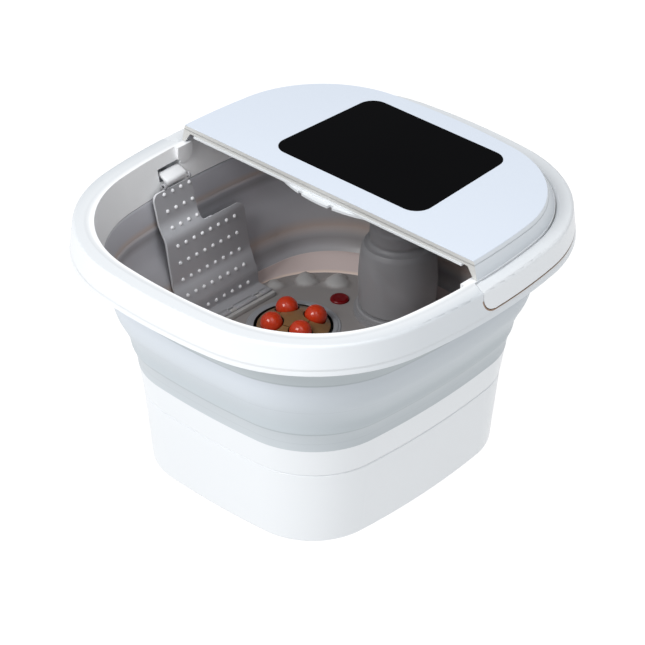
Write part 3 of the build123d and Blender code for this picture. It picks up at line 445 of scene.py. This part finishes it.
def rounded(points, soft, steps=5, closed=True):
    """Polyline with each corner replaced by a parabola: it leaves the line soft millimetres before the
    corner, joins the next as far after it, and a guard point each side keeps the straight stretches flat."""
    points = np.asarray(points, float)
    before, after = np.roll(points, 1, 0), np.roll(points, -1, 0)
    into, out = points - before, after - points
    long_in, long_out = np.hypot(*into.T), np.hypot(*out.T)
    most = 0.42 * np.minimum(long_in, long_out)
    reach = np.minimum(np.broadcast_to(soft, len(points)), most)[:, None, None]
    into, out = (into / long_in[:, None])[:, None], (out / long_out[:, None])[:, None]
    t = np.linspace(0, 1, steps)[None, :, None]
    corner = points[:, None]
    start, end = corner - into * reach, corner + out * reach
    bend = (1 - t) ** 2 * start + 2 * t * (1 - t) * corner + t**2 * end
    whole = np.concatenate((start - into * reach * 0.18, bend, end + out * reach * 0.18), axis=1)
    if not closed:
        return np.concatenate((points[:1], whole[1:-1].reshape(-1, 2), points[-1:]))
    return whole.reshape(-1, 2)


def flowing(points, per_span=6):
    """Smooth curve through points: cubic spans whose slope at a point is that of the chord past it."""
    p = np.asarray(points, float)
    padded_ends = np.vstack((2 * p[0] - p[1], p, 2 * p[-1] - p[-2]))
    a, b, c, d = padded_ends[:-3], padded_ends[1:-2], padded_ends[2:-1], padded_ends[3:]
    t = (np.arange(per_span) / per_span)[None, :, None]
    a, b, c, d = (q[:, None] for q in (a, b, c, d))
    curve = 0.5 * (2 * b + (c - a) * t + (2 * a - 5 * b + 4 * c - d) * t**2 + (3 * b - a - 3 * c + d) * t**3)
    return np.vstack((curve.reshape(-1, 2), p[-1:]))


# ---- meshes ----------------------------------------------------------------------------------
SHARP = np.radians(38)


def mesh_piece(name, points, faces, material):
    """Mesh object at the origin from points in millimetres and rows of corner numbers."""
    mesh = bpy.data.meshes.new(name)
    faces = np.asarray(faces)
    mesh.vertices.add(len(points))
    mesh.vertices.foreach_set("co", (np.asarray(points, float) * MM).astype(np.float32).ravel())
    mesh.loops.add(faces.size)
    mesh.loops.foreach_set("vertex_index", faces.ravel().astype(np.int32))
    mesh.polygons.add(len(faces))
    mesh.polygons.foreach_set("loop_start", np.arange(0, faces.size, faces.shape[1], dtype=np.int32))
    mesh.update(calc_edges=True)
    mesh.validate()
    mesh.polygons.foreach_set("use_smooth", np.ones(len(mesh.polygons), bool))
    mesh.set_sharp_from_angle(angle=SHARP)
    piece = bpy.data.objects.new(name, mesh)
    bpy.context.scene.collection.objects.link(piece)
    paint(piece, material)
    return piece


def grid_faces(rows, columns, close_rows=False, close_columns=False, start=0):
    """Corner numbers of the four-sided faces of a grid stored row by row."""
    row = np.arange(rows if close_rows else rows - 1)[:, None]
    column = np.arange(columns if close_columns else columns - 1)[None, :]
    next_row, next_column = (row + 1) % rows, (column + 1) % columns
    corners = (
        row * columns + column, row * columns + next_column,
        next_row * columns + next_column, next_row * columns + column,
    )
    return start + np.stack(np.broadcast_arrays(*corners), -1).reshape(-1, 4)


def mark(piece, name, values):
    """A number on each point of the mesh, for a material to read."""
    attribute = piece.data.attributes.new(name, "FLOAT", "POINT")
    attribute.data.foreach_set("value", np.asarray(values, np.float32).ravel())


def ring_piece(name, profile, material):
    """A closed profile of (spread, height) carried round the tub, each point along its own outline."""
    profile = np.asarray(profile, float)
    x, y = loops(spread(profile[:, 0]))
    points = np.stack((x, y, np.broadcast_to(profile[:, 1:2], x.shape)), -1).reshape(-1, 3)
    return mesh_piece(name, points, grid_faces(len(profile), x.shape[1], True, True), material)


def turned_piece(name, profile, centre, material, swell=None, around=96):
    """A closed profile of (radius, height) turned about an upright axis; swell(angle, height) adds to the
    radius."""
    profile = np.asarray(profile, float)
    angle = np.linspace(0, 2 * np.pi, around, endpoint=False)[None, :]
    radius = np.broadcast_to(profile[:, :1], (len(profile), around))
    height = np.broadcast_to(profile[:, 1:2], radius.shape)
    if swell:
        radius = radius + swell(angle, height)
    x, y = centre[0] + radius * np.cos(angle), centre[1] + radius * np.sin(angle)
    points = np.stack((x, y, height), -1).reshape(-1, 3)
    return mesh_piece(name, points, grid_faces(len(profile), around, True, True), material)


def weighted(piece):
    """Large faces keep their own direction, so flats beside a rounded edge stay flat."""
    modifier = piece.modifiers.new("weighted", "WEIGHTED_NORMAL")
    modifier.keep_sharp = True


# ---- folding wall ----------------------------------------------------------------------------
SKIRT_TOP = 112.0
COLLAPSE = abs(next(j for j in frame["joints"] if j["name"] == "rim_collapse")["range_m"][0]) / MM
FOLD_LIP = 1.1               # how far a band overhangs the one below it at a fold
TONGUE = 200.8               # the folding part's top edge, tucked up inside the collar


def wall_profiles():
    """Outside and inside of the folding part, then of the collar: flowing curves, each band ending in a small
    lip over the next one at a fold."""
    low = flowing([(0.1, SKIRT_TOP), (0.7, 117), (2.8, 126), (5.5, LOW_FOLD - 0.9)])
    middle = flowing([
        (5.5 + FOLD_LIP, LOW_FOLD + 0.9), (9.4, 147), (15.4, 160), (21.6, 172), (25.2, 186),
        (26.2, HIGH_FOLD - 0.9),
    ])
    middle_in = flowing([
        (23.6, HIGH_FOLD - 1.2), (22.6, 186), (19.0, 172), (12.8, 160), (6.8, 147), (3.9, LOW_FOLD + 1.2),
    ])
    low_in = flowing([(2.7, LOW_FOLD - 1.2), (0.4, 126), (-1.8, 117), (-5.2, SKIRT_TOP)])
    collar = flowing([
        (26.2 + FOLD_LIP, HIGH_FOLD + 0.9), (29.2, 210), (31.6, 220), (34.4, 224.6), (36.8, 227), (37.8, 232),
    ])
    collar_in = flowing([
        (35.6, 232), (34.3, 226.2), (30.9, 224.2), (28.6, 218), (26.4, 210), (24.6, HIGH_FOLD + 1.2),
    ])
    folding = np.vstack((low, middle, [(26.3, TONGUE)])), np.vstack(([(25.4, TONGUE)], middle_in, low_in))
    return folding, (collar, collar_in)


def lined_ring(name, outside, inside):
    """Ring of rubber whose lining is marked for its material."""
    ring = ring_piece(name, np.vstack((outside, inside)), grey_rubber)
    mark(ring, "lining", np.repeat([0.0, 1.0], [len(outside) * 4 * QUARTER, len(inside) * 4 * QUARTER]))
    return ring


def folding_wall():
    """The two lower bands go with the base; the collar above them stays with the rim."""
    folding, collar = wall_profiles()
    wall = lined_ring("rubber_wall", *folding)
    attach(wall, "base")
    keep = 1 - COLLAPSE / (HIGH_FOLD - SKIRT_TOP)
    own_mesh(wall)
    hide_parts("folding_wall")
    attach(lined_ring("rubber_collar", *collar), "rim")


folding_wall()

# ---- rubber column ---------------------------------------------------------------------------
COLUMN = (-1.0, 107.0)
COLUMN_FOOT, COLUMN_TOP = 100.4, 270.4


def column():
    """Soft sleeve: a barrel, a shoulder with a groove, a slimmer tube above and one dent facing the front."""
    outside = np.vstack((
        rounded([(30, COLUMN_FOOT), (35.4, COLUMN_FOOT), (35.4, 110), (37.2, 111.5)], 0.8, closed=False),
        flowing([(37.4, 113), (38.4, 130), (38.4, 146), (37.6, 160), (36.2, 172), (34.6, 176.4)]),
        rounded([
            (33.4, 178.2), (29.6, 179.2), (27.4, 182.0), (28.4, 185.5), (28.3, 196), (27.0, 199.5),
            (26.8, COLUMN_TOP),
        ], 1.6, closed=False),
    ))
    inside = [(24.4, COLUMN_TOP), (24.6, 181), (32.2, 174), (32.6, 106), (30, 105)]

    def dent(angle, height):
        """A shallow fold running down from the front, soft-edged."""
        facing = np.angle(np.exp(1j * (angle - np.radians(-80))))
        ridge = np.exp(-((facing - (150 - height) * 0.018) / 0.20) ** 2 - ((height - 152) / 12) ** 2)
        hollow = np.exp(-((facing - 0.34 - (150 - height) * 0.018) / 0.26) ** 2 - ((height - 150) / 14) ** 2)
        wave = 0.35 * np.sin(3 * angle + 0.9) * np.exp(-((height - 150) / 30) ** 2)
        return 0.7 * ridge - 2.1 * hollow + wave

    profile = np.vstack((outside, inside))
    sleeve = turned_piece("rubber_sleeve", profile, COLUMN, sleeve_grey, dent, around=144)
    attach(sleeve, "base")
    keep = 1 - COLLAPSE / (COLUMN_TOP - COLUMN_FOOT)
    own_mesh(sleeve)
    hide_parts("column_sleeve")


column()

# ---- tub floor -------------------------------------------------------------------------------
FLOOR_TOP = 100.0
FLOOR_EDGE = np.array((131.0, 138.0, 700.0, 420.0, 98.0))
# Middle x, middle y, half length, half width, height, direction of the point in degrees.
PEBBLES = [(119, 59, 10.5, 8.0, 4.0, 150), (103.5, 87, 14.0, 10.0, 5.5, 138), (79, 106, 14.5, 11.0, 6.0, 120)]


def pebble_heights(x, y):
    """Six smooth teardrops: height falls as a cosine of the distance from the middle, measured in half
    lengths along and half widths across, the width shrinking towards the point."""
    height = np.zeros_like(x)
    for side in (-1, 1):
        for mid_x, mid_y, long, wide, high, heading in PEBBLES:
            turn = np.radians(heading)
            dx, dy = side * x - mid_x, y - mid_y
            along = -dx * np.cos(turn) + dy * np.sin(turn)
            across = dx * np.sin(turn) + dy * np.cos(turn)
            narrowing = np.clip(1 - 0.45 * along / long, 0.3, 1.6)
            far = np.sqrt((along / long) ** 2 + (across / (wide * narrowing)) ** 2)
            height += high * np.where(far < 1, np.cos(np.clip(far, 0, 1) * np.pi / 2) ** 0.55, 0)
    return height


FLOOR_THICK = 2.5
SEAT_OPENING = 41.5          # the seats' flanges cover the floor from here out to 46


def tub_floor():
    """A flat floor with teardrop bumps, a soft kerb at its edge and a beige slope up to the wall: rows of
    closed loops from the middle outwards, open under the two roller seats. A modifier thickens it."""
    shares = np.linspace(0.02, 1, 110)
    edge_x, edge_y = loops(FLOOR_EDGE[None, :])
    flat_x, flat_y = shares[:, None] * edge_x, shares[:, None] * edge_y
    flat_z = FLOOR_TOP + pebble_heights(flat_x, flat_y)
    top_x, top_y = loops(spread([-6.0]))
    rise = np.array([0.0, 0.04, 0.09, 0.16, 0.3, 0.5, 0.7, 0.88, 1.0])[:, None]
    lift = np.array([0.2, 0.9, 1.25, 1.7, 3.2, 5.6, 8.2, 10.6, 12.0])[:, None]
    slope_x, slope_y = edge_x + (top_x - edge_x) * rise, edge_y + (top_y - edge_y) * rise
    slope_z = np.broadcast_to(FLOOR_TOP + lift, slope_x.shape)
    out_x, out_y = loops(spread([-4.6, -3.4]))
    out_z = np.full_like(out_x, SKIRT_TOP)
    x = np.vstack((flat_x, slope_x, out_x))
    y = np.vstack((flat_y, slope_y, out_y))
    z = np.vstack((flat_z, slope_z, out_z))
    rows, columns = x.shape
    faces = grid_faces(rows, columns, False, True)[:, ::-1]
    clear = np.hypot(np.abs(x) - ROLLER_X, y - ROLLER_Y).ravel() > SEAT_OPENING
    faces = faces[clear[faces].all(1)]
    used, faces = np.unique(faces, return_inverse=True)
    points = np.stack((x, y, z), -1).reshape(-1, 3)[used]
    tray = mesh_piece("floor_tray", points, faces.reshape(-1, 4), floor_grey)
    mark(tray, "slope", (used >= flat_x.size).astype(float))
    fill_open_rings(tray, within=8.0)
    solid = tray.modifiers.new("thickness", "SOLIDIFY")
    solid.thickness = FLOOR_THICK * MM
    solid.offset = -1.0
    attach(tray, "base")
    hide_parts("tub_floor")


def fill_open_rings(piece, within=None):
    """Closes open rings of edges with flat caps: all, or those within so many millimetres of the middle."""
    work = bmesh.new()
    work.from_mesh(piece.data)
    reach = np.inf if within is None else within * MM
    open_edges = [e for e in work.edges if e.is_boundary and e.verts[0].co.xy.length < reach]
    caps = bmesh.ops.holes_fill(work, edges=open_edges, sides=0)["faces"]
    if within is None:
        bmesh.ops.recalc_face_normals(work, faces=work.faces)
    for cap in caps:
        cap.smooth = True
    work.to_mesh(piece.data)
    work.free()


tub_floor()

# ---- hinges of the support plates -------------------------------------------------------------
HINGE_X, HINGE_Z = 112.0, 104.0
PLATE_FRONT, PLATE_BACK = -59.0, 46.0
KNUCKLES = np.array([-42.0, -6.5, 29.0])
KNUCKLE_LONG, KNUCKLE_R = 7.0, 2.3
BARREL_R, BARREL_TAB = 2.1, 5.2
RAIL_PROFILE = [(104.4, 99.6), (109.2, 99.6), (109.2, 104.6), (105.2, 104.6)]


def carried_along_y(name, profile, spans, material, soft=0.5):
    """A closed (x, z) profile carried along Y over each span, drawn in a little at both ends and capped."""
    profile = np.asarray(profile, float)
    middle = profile.mean(0)
    size = np.abs(profile - middle).max()
    drawn = 1 - soft / size
    points, faces, count = [], [], len(profile)
    for low, high in spans:
        stations = np.array([low, low + soft * 0.3, low + soft, high - soft, high - soft * 0.3, high])
        scale = np.array([drawn, (1 + 2 * drawn) / 3, 1, 1, (1 + 2 * drawn) / 3, drawn])
        section = middle + (profile - middle)[None] * scale[:, None, None]
        y = np.broadcast_to(stations[:, None], section.shape[:2])
        start = sum(len(p) for p in points)
        points.append(np.stack((section[..., 0], y, section[..., 1]), -1).reshape(-1, 3))
        faces.append(grid_faces(len(stations), count, False, True, start))
    piece = mesh_piece(name, np.vstack(points), np.vstack(faces), material)
    fill_open_rings(piece)
    return piece


def round_with_tab(centre, radius, tab_long, tab_half, side):
    """Profile of a hinge barrel: a circle with a flat tab of tab_half either side of its middle line."""
    opening = np.arcsin(tab_half / radius)
    angle = np.linspace(opening, 2 * np.pi - opening, 28)
    x = np.concatenate((radius * np.cos(angle), (tab_long, tab_long)))
    z = np.concatenate((radius * np.sin(angle), (-tab_half, tab_half)))
    return np.stack((centre[0] + side * x, centre[1] + z), -1)


def knuckle_profile(side):
    """Profile of a floor knuckle: half round on top, straight sides down into the floor."""
    angle = np.linspace(0, np.pi, 16)
    x = np.concatenate((KNUCKLE_R * np.cos(angle), (-KNUCKLE_R, KNUCKLE_R)))
    z = np.concatenate((HINGE_Z + KNUCKLE_R * np.sin(angle), (FLOOR_TOP - 0.8, FLOOR_TOP - 0.8)))
    return np.stack((side * HINGE_X + x, z), -1)


SIDES = (("left", -1), ("right", 1))
for name, side in SIDES:
    spans = [(middle - KNUCKLE_LONG / 2, middle + KNUCKLE_LONG / 2) for middle in KNUCKLES]
    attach(carried_along_y(f"{name}_floor_knuckles", knuckle_profile(side), spans, floor_grey), "base")
    rail = rounded(np.array(RAIL_PROFILE) * (side, 1), 0.8)
    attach(carried_along_y(f"{name}_hinge_rail", rail, [(PLATE_FRONT, PLATE_BACK)], floor_grey), "base")

# ---- support plates --------------------------------------------------------------------------
PLATE_PATH = [
    (112, 104), (129.5, 104), (130.5, 119), (137, 133), (141, 142), (149, 188), (157.5, 202), (166.2, 236),
]
PLATE_THICK, PLATE_EDGE = 2.4, 1.05
NECK_BACK = -9.0
SHOULDER_Z = 190.0
PLATE_TOP = 232.6            # below the ears that carry the latch
TAB_EARS = [(-44.0, -40.3), (-11.7, NECK_BACK)]
EAR_X, EAR_Z, EAR_R = 166.0, 236.0, 3.1
NUB_ROWS = [229.0, 212.5, 196.5, 179.4, 161.9, 144.5, 129.1, 111.5]
NUB_COLUMNS = 8
NECK_ROWS, NECK_COLUMNS = 3, 4
NUB_PITCH = 11.0
NUB_FIRST = -45.5
NUB_R, NUB_HIGH = 2.05, 1.7

plate_curve = rounded(PLATE_PATH, 3.4, steps=7, closed=False)
plate_length = np.concatenate(([0], np.cumsum(np.hypot(*np.diff(plate_curve, axis=0).T))))


def on_plate(along):
    """Place (x, z) on the plate's middle surface at a length along its path from the hinge."""
    return tuple(np.interp(along, plate_length, places) for places in plate_curve.T)


def length_at(height):
    """Length along the path where the plate reaches a height above its foot."""
    return np.interp(height, plate_curve[:, 1], plate_length)


def quarter_turn(centre, radius, start, end, count=9):
    """Points on an arc between two angles in degrees."""
    angle = np.radians(np.linspace(start, end, count))
    return np.stack((centre[0] + radius * np.cos(angle), centre[1] + radius * np.sin(angle)), -1)


def evenly(points, count):
    """Polyline walked in equal steps."""
    walked = np.concatenate(([0], np.cumsum(np.hypot(*np.diff(points, axis=0).T))))
    steps = np.linspace(0, walked[-1], count)
    return np.stack((np.interp(steps, walked, points[:, 0]), np.interp(steps, walked, points[:, 1])), -1)


def plate_edges():
    """Front and back edges of the flattened plate as matching (y, length) points. Below the shoulder and up
    the neck the pairs face each other; round the shoulder the back edge runs ahead of the front."""
    foot, shoulder, top = 4.4, length_at(SHOULDER_Z), length_at(PLATE_TOP)
    corner, valley, crown = 9.0, 6.0, 7.0
    fan_low, fan_high = shoulder - 18, shoulder + valley
    low = np.linspace(foot, fan_low, 130, endpoint=False)
    back_low = np.stack((np.full_like(low, PLATE_BACK), low), -1)
    back_fan = evenly(np.vstack((
        [(PLATE_BACK, fan_low)],
        quarter_turn((PLATE_BACK - corner, shoulder - corner), corner, 0, 90),
        quarter_turn((NECK_BACK + valley, shoulder + valley), valley, 270, 180),
    )), 150)
    front_fan = np.stack((np.full(150, PLATE_FRONT), np.linspace(fan_low, fan_high, 150)), -1)
    high = np.linspace(fan_high, top - crown, 50)[1:-1]
    back_high = np.stack((np.full_like(high, NECK_BACK), high), -1)
    crown_back = quarter_turn((NECK_BACK - crown, top - crown), crown, 0, 90, 14)
    crown_front = quarter_turn((PLATE_FRONT + crown, top - crown), crown, 180, 90, 14)
    back = np.vstack((back_low, back_fan, back_high, crown_back))
    to_front = np.array((PLATE_FRONT, 0.0))
    front = np.vstack((back_low * (0, 1) + to_front, front_fan, back_high * (0, 1) + to_front, crown_front))
    return front, back


def support_plate(name, side):
    """Bent plate: straight lines between its two edges, laid on the bent path, then given its thickness."""
    front, back = plate_edges()
    across = np.linspace(0, 1, 44)[None, :, None]
    flat = front[:, None] + (back - front)[:, None] * across
    x, z = on_plate(flat[..., 1])
    points = np.stack((side * x, flat[..., 0], z), -1).reshape(-1, 3)
    faces = grid_faces(*flat.shape[:2])
    panel = mesh_piece(f"{name}_plate_panel", points, faces if side > 0 else faces[:, ::-1], plate_grey)
    solid = panel.modifiers.new("thickness", "SOLIDIFY")
    solid.thickness = PLATE_THICK * MM
    solid.offset = 0.0
    # the edge faces take the pale material: painted highlight along the plate's edges
    panel.data.materials.append(plate_edge_highlight)
    solid.material_offset_rim = 1
    edge = panel.modifiers.new("edge", "BEVEL")
    edge.width = PLATE_EDGE * MM
    edge.segments = 3
    edge.material = 1
    edge.limit_method = "ANGLE"
    edge.angle_limit = np.radians(50)
    weighted(panel)
    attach(panel, f"{name}_plate")
    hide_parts(f"{name}_support_plate")
    gaps = KNUCKLE_LONG / 2 + 0.4
    stops = np.concatenate(([PLATE_FRONT], np.repeat(KNUCKLES, 2) + np.tile([-gaps, gaps], 3), [PLATE_BACK]))
    barrel = round_with_tab((side * HINGE_X, HINGE_Z), BARREL_R, BARREL_TAB, PLATE_THICK / 2, side)
    barrels = carried_along_y(f"{name}_plate_barrel", barrel, stops.reshape(-1, 2), plate_grey)
    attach(barrels, f"{name}_plate")
    angle = np.linspace(0, 2 * np.pi, 30, endpoint=False)
    ear = np.stack((side * EAR_X + EAR_R * np.cos(angle), EAR_Z + EAR_R * np.sin(angle)), -1)
    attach(carried_along_y(f"{name}_plate_ears", ear, TAB_EARS, plate_grey), f"{name}_plate")
    plate_nubs(name, side)


def plate_nubs(name, side):
    """Rows of small domes on the plate's inner face: half ellipsoids of latitude and longitude."""
    rows = length_at(np.array(NUB_ROWS))
    columns = NUB_FIRST + NUB_PITCH * np.arange(NUB_COLUMNS)
    row, column = np.meshgrid(rows, columns, indexing="ij")
    beside_neck = np.arange(NUB_COLUMNS)[None, :] >= NECK_COLUMNS
    kept = ~((np.arange(len(rows))[:, None] < NECK_ROWS) & beside_neck)
    along, y = row[kept], column[kept]
    x, z = on_plate(along)
    ahead_x, ahead_z = on_plate(along + 0.5)
    slope_x, slope_z = ahead_x - x, ahead_z - z
    size = np.hypot(slope_x, slope_z)
    normal_x, normal_z = -slope_z / size, slope_x / size
    latitude = np.radians(np.array([-25, 0, 22, 45, 66, 83]))[None, :, None]
    longitude = np.linspace(0, 2 * np.pi, 14, endpoint=False)[None, None, :]
    out = PLATE_THICK / 2 + NUB_HIGH * np.sin(latitude)
    wide = NUB_R * np.cos(latitude)
    up, sideways = wide * np.sin(longitude), wide * np.cos(longitude)
    normal_x, normal_z, x, z, y = (v[:, None, None] for v in (normal_x, normal_z, x, z, y))
    points = np.stack((
        side * (x + normal_x * out + normal_z * up),
        y + sideways,
        z + normal_z * out - normal_x * up,
    ), -1)
    domes, rings, around = points.shape[:3]
    lattice = grid_faces(rings, around, False, True)
    starts = (np.arange(domes) * rings * around)[:, None, None]
    faces = (lattice[None] + starts).reshape(-1, 4)
    nubs = mesh_piece(f"{name}_plate_nubs", points.reshape(-1, 3), faces, nub_white)
    fill_open_rings(nubs)
    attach(nubs, f"{name}_plate")


LATCH_SPAN = [(-39.0, -13.0)]
LATCH_PROFILE = [
    (164.6, 236.3), (164.8, 239.6), (166.2, 241.2), (175.4, 244.4), (178.4, 244.4), (178.4, 241.6),
    (170.8, 239.2), (168.2, 235.6),
]


def latch_tab(name, side):
    """White tab on the neck's top: a slim rounded wedge carried along Y, its ends drawn in."""
    wedge = rounded(np.array(LATCH_PROFILE) * (side, 1), 1.5, steps=6)
    tab = carried_along_y(f"{name}_latch_cap", wedge, LATCH_SPAN, nub_white, soft=1.6)
    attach(tab, f"{name}_latch")
    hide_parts(f"{name}_latch_tab")


for name, side in SIDES:
    support_plate(name, side)
    latch_tab(name, side)

# ---- camera, light, floor --------------------------------------------------------------------
AIM = Vector((0.0, 0.0, 0.127))
CAMERA_RIGHT = Vector((0.73508, 0.67793, 0.00799))
CAMERA_UP = Vector((-0.37523, 0.39698, 0.83762))
CAMERA_BACK = CAMERA_RIGHT.cross(CAMERA_UP)
CAMERA_DISTANCE = 2.751


def camera():
    """Long lens from the front right, looking down into the tub."""
    lens = bpy.data.cameras.new("camera")
    lens.lens = 163.2
    lens.sensor_width = 36.0
    lens.shift_x = -0.0011
    lens.shift_y = 0.0137
    lens.clip_end = 20.0
    stand = bpy.data.objects.new("camera", lens)
    turn = Matrix((CAMERA_RIGHT, CAMERA_UP, CAMERA_BACK)).transposed().to_4x4()
    stand.matrix_world = Matrix.Translation(AIM + CAMERA_BACK * CAMERA_DISTANCE) @ turn
    bpy.context.scene.collection.objects.link(stand)
    bpy.context.scene.camera = stand


def area_light(name, place, aim, size, power):
    """Square soft light pointed at a place."""
    light = bpy.data.lights.new(name, "AREA")
    light.shape = "SQUARE"
    light.size = size
    light.energy = power
    lamp = bpy.data.objects.new(name, light)
    lamp.location = place
    lamp.rotation_euler = (Vector(aim) - Vector(place)).to_track_quat("-Z", "Y").to_euler()
    bpy.context.scene.collection.objects.link(lamp)


def studio():
    """Pale world, a large key light from the front, two weaker ones from the right, and a white floor."""
    world = bpy.data.worlds.new("studio")
    world.use_nodes = True
    sky = world.node_tree.nodes["Background"].inputs
    sky["Color"].default_value = (0.96, 0.98, 1.0, 1.0)
    sky["Strength"].default_value = 0.48
    bpy.context.scene.world = world
    bpy.context.scene.view_settings.view_transform = "Standard"
    area_light("key", (-0.25, -1.75, 1.75), AIM, 1.0, 33.0)
    area_light("fill", (1.6, -0.9, 1.3), AIM, 1.4, 2.0)
    area_light("top", (0.75, -0.25, 2.1), AIM, 1.3, 13.0)
    bpy.ops.mesh.primitive_plane_add(size=16.0)
    floor = bpy.context.object
    floor.name = "studio_floor"
    f = Finish("studio_floor")
    mottle = f.mix(f.noise(3.0, 2.0), (0.96, 0.96, 0.96), (0.97, 0.97, 0.97))
    shade = f.node("BsdfDiffuse", sockets={"Color": mottle})
    glow = f.node("Emission", sockets={"Color": mottle, "Strength": 1.15})
    f.join(f.node("MixShader", sockets={0: 0.86, 1: shade, 2: glow}))
    floor.data.materials.append(f.material)


camera()
studio()
